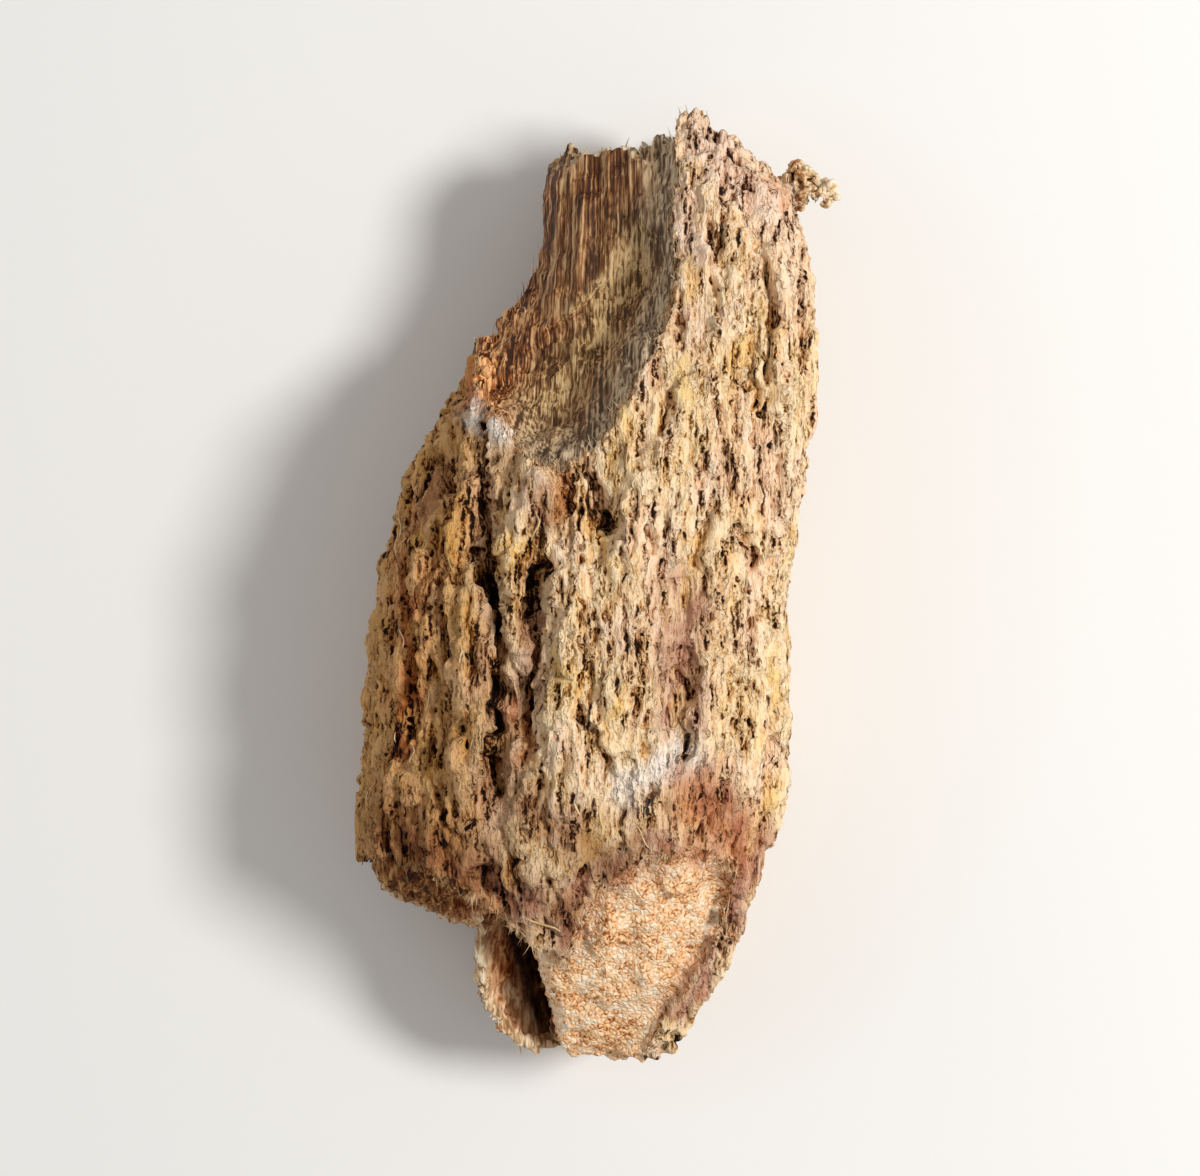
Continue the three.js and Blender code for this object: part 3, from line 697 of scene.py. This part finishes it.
tone = add(tree, "ShaderNodeValToRGB", {"Fac": shades[0]}, stops=(
    (0.32, "#3C1C0A"), (0.44, "#6E401E"), (0.56, "#986638"), (0.7, "#CEA678"))).outputs["Color"]
for name, dark, medium, light in (
        ("olive", "#54381A", "#A07644", "#E2BE88"), ("rust", "#3E1A02", "#B46424", "#FFC484"),
        # The rim ramp is a painted highlight along the edge of the step.
        ("torn", "#58442F", "#987E62", "#D0B896"), ("painted_rim_light", "#7A5E3C", "#B8965F", "#E0C492")):
    other = add(tree, "ShaderNodeValToRGB", {"Fac": shades[1]}, stops=(
        (0.32, dark), (0.5, medium), (0.68, light))).outputs["Color"]
    tone = add(tree, "ShaderNodeMix", {0: has[name], 6: tone, 7: other}, data_type="RGBA").outputs[2]
tree.links.new(tone, shader.inputs["Base Color"])
rough = add(tree, "ShaderNodeMath", {
    0: has["shred"], 1: 0.7, 2: has["hair"]}, operation="MULTIPLY_ADD").outputs["Value"]
bump = add(tree, "ShaderNodeBump", {"Height": rough, "Strength": 0.9, "Distance": 0.05 * MM})
tree.links.new(bump.outputs["Normal"], shader.inputs["Normal"])

# Inner cork, laid bare where the bark snapped off: close-packed grains, peach to tan, that catch
# the light one by one, stained plum towards the bark. The cells are about 0.03 mm wide, too fine to
# show, so each grain is drawn nearly three times as wide.
GRAIN_WIDE = 0.085
cork, tree, shader = material("granular_inner_cork", 0.7, 0.3)
place = add(tree, "ShaderNodeTexCoord").outputs["Object"]
stained = add(tree, "ShaderNodeAttribute", attribute_name="plum").outputs["Fac"]
painted_crack_shadow = add(tree, "ShaderNodeAttribute", attribute_name="crack").outputs["Fac"]
grains = add(tree, "ShaderNodeTexVoronoi", {"Vector": place, "Scale": 1 / (GRAIN_WIDE * MM)})
gaps = add(tree, "ShaderNodeTexVoronoi", {
    "Vector": place, "Scale": 1 / (GRAIN_WIDE * MM)}, feature="DISTANCE_TO_EDGE")
gap = add(tree, "ShaderNodeMapRange", {"Value": gaps.outputs["Distance"], "From Max": 0.3}).outputs["Result"]
fine, broad = (add(tree, "ShaderNodeTexNoise", {
    "Vector": place, "Scale": 1 / (wide * MM), "Detail": 3}).outputs["Fac"] for wide in (0.05, 0.5))
each = add(tree, "ShaderNodeSeparateColor", {"Color": grains.outputs["Color"]}).outputs["Red"]
shade = -0.93
for value, weight in ((each, 0.4), (fine, 1.5), (broad, 0.9), (gap, 0.15)):
    shade = add(tree, "ShaderNodeMath", {
        0: value, 1: weight, 2: shade}, operation="MULTIPLY_ADD").outputs["Value"]
tone = add(tree, "ShaderNodeValToRGB", {"Fac": shade}, stops=(
    (0.14, "#9A5422"), (0.32, "#E6A468"), (0.5, "#FECC96"), (0.68, "#FFDEB6"),
    (0.88, "#FFEBD0"))).outputs["Color"]
# The crack share is a painted shadow, darkening the cork beside the flake.
for share, stain in ((stained, "#C09A8C"), (painted_crack_shadow, "#3C2214")):
    tone = add(tree, "ShaderNodeMix", {0: share, 6: tone, 7: stain}, data_type="RGBA",
               blend_type="MULTIPLY").outputs[2]
tree.links.new(tone, shader.inputs["Base Color"])
rough = add(tree, "ShaderNodeMath", {0: gap, 1: fine}, operation="ADD").outputs["Value"]
bump = add(tree, "ShaderNodeBump", {"Height": rough, "Strength": 0.8, "Distance": 0.025 * MM})
tree.links.new(bump.outputs["Normal"], shader.inputs["Normal"])

# Root snapped across under the bark: dark orange-brown with short dull fibres, redder on the flake's inner
# face, with a painted highlight along the thin edges as if light came through them, and a painted shadow in
# the crack beside the flake. The fibres are about 0.02 mm wide, too fine to show, so they are drawn as
# shreds of 0.07 mm.
SNAPPED_GRAIN = (("shred", 0.07, 0.4, 4), ("blotch", 0.3, 0.5, 2))
broken, tree, shader = material("snapped_root", 0.8, 0.2)
place = add(tree, "ShaderNodeTexCoord").outputs["Object"]
has = {}
for name in ("rust", "painted_rim_light", "crack"):
    has[name] = add(tree, "ShaderNodeAttribute", attribute_name=name).outputs["Fac"]
has.update(streaks(tree, place, SNAPPED_GRAIN))
shade = -0.55
for name, weight in (("shred", 1.4), ("blotch", 0.7)):
    shade = add(tree, "ShaderNodeMath", {
        0: has[name], 1: weight, 2: shade}, operation="MULTIPLY_ADD").outputs["Value"]
tone = add(tree, "ShaderNodeValToRGB", {"Fac": shade}, stops=(
    (0.28, "#341605"), (0.44, "#6E3C18"), (0.58, "#9C6430"), (0.74, "#C89A62"))).outputs["Color"]
for name, dark, medium, light in (
        ("rust", "#84401C", "#C47840", "#F2BE88"), ("painted_rim_light", "#A87C52", "#E2C498", "#FBEBCC")):
    other = add(tree, "ShaderNodeValToRGB", {"Fac": shade}, stops=(
        (0.3, dark), (0.5, medium), (0.7, light))).outputs["Color"]
    tone = add(tree, "ShaderNodeMix", {0: has[name], 6: tone, 7: other}, data_type="RGBA").outputs[2]
# The crack share is a painted shadow in the crack beside the flake.
tone = add(tree, "ShaderNodeMix", {0: has["crack"], 6: tone, 7: "#3C2214"}, data_type="RGBA",
           blend_type="MULTIPLY").outputs[2]
tree.links.new(tone, shader.inputs["Base Color"])
bump = add(tree, "ShaderNodeBump", {"Height": shade, "Strength": 0.9, "Distance": 0.05 * MM})
tree.links.new(bump.outputs["Normal"], shader.inputs["Normal"])

# Flesh of the root where the cutter went through it: cream and mealy, with patches of orange-brown
# where it dried darker. Its cells are up to 0.1 mm wide, and they crumble in lumps of 0.15 mm.
FLESH_GRAIN = (("crumb", 0.15, 0.3, 4), ("broad", 1.2, 1.6, 3))
flesh, tree, shader = material("cut_root_flesh", 0.7, 0.3)
place = add(tree, "ShaderNodeTexCoord").outputs["Object"]
has = streaks(tree, place, FLESH_GRAIN)
shade = -0.4
for name, weight in (("broad", 0.7), ("crumb", 1.1)):
    shade = add(tree, "ShaderNodeMath", {
        0: has[name], 1: weight, 2: shade}, operation="MULTIPLY_ADD").outputs["Value"]
tone = add(tree, "ShaderNodeValToRGB", {"Fac": shade}, stops=(
    (0.3, "#8E6236"), (0.44, "#B99468"), (0.56, "#D3BC99"), (0.72, "#EADBC0"))).outputs["Color"]
tree.links.new(tone, shader.inputs["Base Color"])
bump = add(tree, "ShaderNodeBump", {"Height": shade, "Strength": 0.6, "Distance": 0.04 * MM})
tree.links.new(bump.outputs["Normal"], shader.inputs["Normal"])

chip.data.materials.clear()
for finish in (bark, wood, cork, broken, flesh):
    chip.data.materials.append(finish)
for face in chip.data.polygons:
    face.material_index = max(regions[i] for i in face.vertices)
finish_with(chip, "DECIMATE", ratio=min(1.0, MOST_FACES / (2 * len(chip.data.polygons))))
surface = BVHTree.FromObject(chip, bpy.context.evaluated_depsgraph_get())
chip.data.transform(Matrix.Scale(MM, 4))
alone(chip)
bpy.ops.object.shade_smooth()
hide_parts("root_chip")
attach(chip, "root")

# Threads
# The bark's ridges dry out into fine crinkled threads of cork. They lie along the crests, half
# sunk in the bark, and each runs out to nothing at its ends.
THREAD_COUNT = 70
THREAD_TURN = (-0.08, 1.08)  # where one starts, in half turns from the right flank over the crown
THREAD_PLACE = (-7.2, 7.6)  # and along the root
THREAD_LONG = (0.36, 0.8)
THREAD_THICK = (0.01, 0.02)  # radius at the middle
THREAD_STEP = 0.06
THREAD_SIDESTEP = 0.006  # turn about the root's middle line that it may take at each step
THREAD_JUMP = 0.07  # it ends where the surface drops or rises more than this
THREAD_FEWEST = 5  # points
random.seed(7)


def strands(name, paths):
    """One mesh of thin tapered strands, from (points, radii) in millimetres."""
    curve = bpy.data.curves.new(name, "CURVE")
    curve.dimensions = "3D"
    curve.bevel_depth = 1.0
    curve.bevel_resolution = 0
    curve.use_fill_caps = True
    for points, radii in paths:
        spline = curve.splines.new("POLY")
        spline.points.add(len(points) - 1)
        for spot, point, radius in zip(spline.points, points, radii):
            spot.co = (*point, 1.0)
            spot.radius = radius
    made = bpy.data.objects.new(name, curve)
    bpy.context.collection.objects.link(made)
    alone(made)
    bpy.ops.object.convert(target="MESH")
    made = bpy.context.object
    made.data.transform(Matrix.Scale(MM, 4))
    bpy.ops.object.shade_smooth()
    return made


middles = {}


def bark_at(turn, y):
    """The surface seen from the root's middle line: a point, its normal and how far out it lies."""
    station = round(y, 1)
    if station not in middles:
        left, right = (surface.ray_cast(Vector((side * OUTSIDE, station, WAIST)), Vector((-side, 0, 0)))[0]
                       for side in (-1, 1))
        middles[station] = (left.x + right.x) / 2 if left and right else None
    if middles[station] is None:
        return None
    away = Vector((math.cos(turn), 0, math.sin(turn)))
    middle = Vector((middles[station], y, WAIST))
    point, normal, _, _ = surface.ray_cast(middle + away * OUTSIDE, -away)
    return (point, normal, (point - middle).length) if point else None


def on_bark(point):
    """Whether a place is on the bark, clear of its torn edges and of the flat face."""
    if notch_inside(point.x, point.y) or foot_inside(point.x, point.y) or point.z < 0.3:
        return False
    return min(notch_nearest(point.x, point.y)[1], foot_nearest(point.x, point.y)[1]) > 0.05


threads = []
while len(threads) < THREAD_COUNT:
    turn = math.pi * random.uniform(*THREAD_TURN)
    y = random.uniform(*THREAD_PLACE)
    long = random.uniform(*THREAD_LONG)
    thick = random.uniform(*THREAD_THICK)
    way = random.choice((-1, 1))
    drift, last, points = 0.0, None, []
    for _ in range(int(long / THREAD_STEP)):
        y += way * THREAD_STEP
        if not low.y + 0.1 < y < high.y - 0.1:
            break
        tries = [turn + drift + k * THREAD_SIDESTEP for k in (-1, 0, 1)]
        found = [(at, hit) for at, hit in ((at, bark_at(at, y)) for at in tries) if hit]
        if not found:
            break
        best, (point, normal, out) = max(found, key=lambda pair: pair[1][2])
        if not on_bark(point) or (last and abs(out - last) > THREAD_JUMP):
            break
        drift = 0.75 * drift + 0.25 * (best - turn)
        turn, last = best, out
        points.append(point + normal * 0.3 * thick)
    if len(points) > THREAD_FEWEST:
        eased = [(a + 2 * b + c) / 4 for a, b, c in zip(points, points[1:], points[2:])]
        swell = [thick * math.sin(math.pi * (i + 0.5) / len(eased)) ** 0.6 for i in range(len(eased))]
        threads.append((eased, swell))
bark_threads = strands("bark_threads", threads)

# Dried cork again, but thin enough to bleach: dull straw, paler and pinker in places.
thread, tree, shader = material("dry_bark_thread", 0.8, 0.25)
place = add(tree, "ShaderNodeTexCoord").outputs["Object"]
broad = add(tree, "ShaderNodeTexNoise", {"Vector": place, "Scale": 1 / (0.6 * MM), "Detail": 3})
tone = add(tree, "ShaderNodeValToRGB", {"Fac": broad.outputs["Fac"]}, stops=(
    (0.3, "#A87E4E"), (0.44, "#D0AC78"), (0.56, "#E8CFA0"), (0.7, "#DCBC9E"))).outputs["Color"]
tree.links.new(tone, shader.inputs["Base Color"])
bark_threads.data.materials.append(thread)
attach(bark_threads, "root")

# Torn fibres
# Where the bark and the wood tore, fine fibres stand out of the edge in the direction of the
# grain. They are stiff and nearly straight, and end in points.
EDGE_FIBRES = {"count": 700, "long": (0.06, 0.26), "thick": (0.006, 0.015), "bend": 0.16}
END_FIBRES = {"count": 110, "long": (0.04, 0.2), "thick": (0.01, 0.022), "bend": 0.08}
FRAY_FIBRES = {"count": 50, "long": (0.1, 0.4), "thick": (0.01, 0.024), "bend": 0.12}
FIBRE_STEPS = 5
FIBRE_SUNK = 0.08  # length of it inside the surface
FIBRE_TIP = 0.08  # its thickness there, as a share of that at its foot


def scatter(spread):
    """A small random move in any direction."""
    return Vector([random.uniform(-spread, spread) for _ in range(3)])


def fibre(start, way, kind):
    """A stiff fibre that starts a little inside the surface, bends steadily and ends in a point."""
    long, thick = random.uniform(*kind["long"]), random.uniform(*kind["thick"])
    curl = scatter(kind["bend"])
    points, spot, heading = [], start - way * FIBRE_SUNK, way.copy()
    for _ in range(FIBRE_STEPS + 1):
        points.append(spot.copy())
        spot = spot + heading * (long + FIBRE_SUNK) / FIBRE_STEPS
        heading = (heading + curl).normalized()
    return points, [thick * (1.0 - (1.0 - FIBRE_TIP) * i / FIBRE_STEPS) for i in range(FIBRE_STEPS + 1)]


def inside_box(path):
    """Whether a strand stays in the box that the solid takes up."""
    thick = max(path[1])
    return all(low[k] + thick < point[k] < high[k] - thick for point in path[0] for k in range(3))


torn = []
edges = along_line(NOTCH_EDGE[1:-2]) + along_line(FOOT_EDGE[1:-2])
while len(torn) < EDGE_FIBRES["count"]:
    spot = random.choice(edges)
    offset = scatter(0.06)
    above = Vector((spot.x + offset.x, spot.y + offset.y, OUTSIDE))
    point, normal, _, _ = surface.ray_cast(above, Vector((0, 0, -1)))
    if not point:
        continue
    way = (Vector((0.0, random.choice((-1, 1)), 0.0)) + scatter(0.55) + normal * 0.3).normalized()
    torn.append(fibre(point, way, EDGE_FIBRES))
wanted = len(torn) + END_FIBRES["count"]
while len(torn) < wanted:
    end = random.choice((-1, 1, 1, 1))
    x, z = random.uniform(low.x, high.x), random.uniform(0.15, 4.6)
    point, _, _, _ = surface.ray_cast(Vector((x, end * OUTSIDE, z)), Vector((0, -end, 0)))
    if not point or abs(point.y) < ENDS_FROM:
        continue
    way = (Vector((0, end, 0)) + scatter(0.3)).normalized()
    torn.append(fibre(point, way, END_FIBRES))
frayed = along_line(FRAYED)
wanted = len(torn) + FRAY_FIBRES["count"]
while len(torn) < wanted:
    spot = random.choice(frayed)
    beside = Vector((-OUTSIDE, spot.y, random.uniform(1.6, 3.4)))
    point, _, _, _ = surface.ray_cast(beside, Vector((1, 0, 0)))
    if not point:
        continue
    way = (Vector((-0.1, random.choice((1, 1, -1)), 0.1)) + scatter(0.3)).normalized()
    torn.append(fibre(point, way, FRAY_FIBRES))
torn_fibres = strands("torn_fibres", [path for path in torn if inside_box(path)])

# Bast, the root's tough fibre, torn out of it: dull, brown to cream from one fibre to the next.
bast, tree, shader = material("torn_bast_fibre", 0.75, 0.3)
place = add(tree, "ShaderNodeTexCoord").outputs["Object"]
broad = add(tree, "ShaderNodeTexNoise", {"Vector": place, "Scale": 1 / (0.3 * MM), "Detail": 3})
tone = add(tree, "ShaderNodeValToRGB", {"Fac": broad.outputs["Fac"]}, stops=(
    (0.34, "#7A4A24"), (0.46, "#A87A4C"), (0.56, "#CFAE82"), (0.68, "#E8D2AC"))).outputs["Color"]
tree.links.new(tone, shader.inputs["Base Color"])
torn_fibres.data.materials.append(bast)
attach(torn_fibres, "root")

# Tuft
# A shred of bark on the right shoulder has come apart into curled strands, orange-brown where
# they leave the root and cream at their loose ends.
CURL_COUNT = 44
CURL_STEP = 0.04
CURL_POINTS = (5, 10)
CURL_THICK = (0.035, 0.065)
CURL_TURN = (0.45, 0.9)  # how sharply it curls at each step
shoulder, tip = tuft[0][0], tuft[4][0]
curls = []
while len(curls) < CURL_COUNT:
    middle, radius = random.choice(tuft)
    outward = (scatter(1.0) + Vector((0.5, 0.1, 0.35))).normalized()
    spot = surface.find_nearest(middle + outward * radius)[0]
    heading = (0.3 * outward + scatter(1.0)).normalized()
    turning = scatter(1.0).normalized().cross(heading) * random.uniform(*CURL_TURN)
    thick = random.uniform(*CURL_THICK)
    count = random.randint(*CURL_POINTS)
    points = []
    for _ in range(count):
        points.append(spot.copy())
        spot = spot + heading * CURL_STEP
        point, normal, _, away = surface.find_nearest(spot)
        if away > thick:
            spot = point + normal * thick
        heading = (heading + turning + scatter(0.25)).normalized()
        turning = turning - heading * turning.dot(heading)
    radii = [thick * (0.45 + 0.55 * math.sin(math.pi * (i + 0.5) / count) ** 0.5) for i in range(count)]
    if inside_box((points, radii)) and points[-1].x > shoulder.x:
        curls.append((points, radii))
tuft_curls = strands("tuft_curls", curls)

# Bark shredded to thin curls: dull, orange-brown near the root and bleached cream at the ends.
shred, tree, shader = material("curled_bark_shred", 0.75, 0.3)
place = add(tree, "ShaderNodeTexCoord").outputs["Object"]
across = add(tree, "ShaderNodeSeparateXYZ", {"Vector": place}).outputs["X"]
mottle = add(tree, "ShaderNodeTexNoise", {
    "Vector": place, "Scale": 1 / (0.1 * MM), "Detail": 4}).outputs["Fac"]
outward = add(tree, "ShaderNodeMapRange", {
    "Value": across, "From Min": shoulder.x * MM, "From Max": tip.x * MM}).outputs["Result"]
shade = -0.5
for value, weight in ((outward, 0.5), (mottle, 1.6)):
    shade = add(tree, "ShaderNodeMath", {
        0: value, 1: weight, 2: shade}, operation="MULTIPLY_ADD").outputs["Value"]
tone = add(tree, "ShaderNodeValToRGB", {"Fac": shade}, stops=(
    (0.2, "#6E3414"), (0.36, "#B27444"), (0.54, "#DCB684"), (0.7, "#F0D8B0"),
    (0.9, "#FFF0D4"))).outputs["Color"]
tree.links.new(tone, shader.inputs["Base Color"])
bump = add(tree, "ShaderNodeBump", {"Height": mottle, "Strength": 1.0, "Distance": 0.06 * MM})
tree.links.new(bump.outputs["Normal"], shader.inputs["Normal"])
tuft_curls.data.materials.append(shred)
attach(tuft_curls, "root")
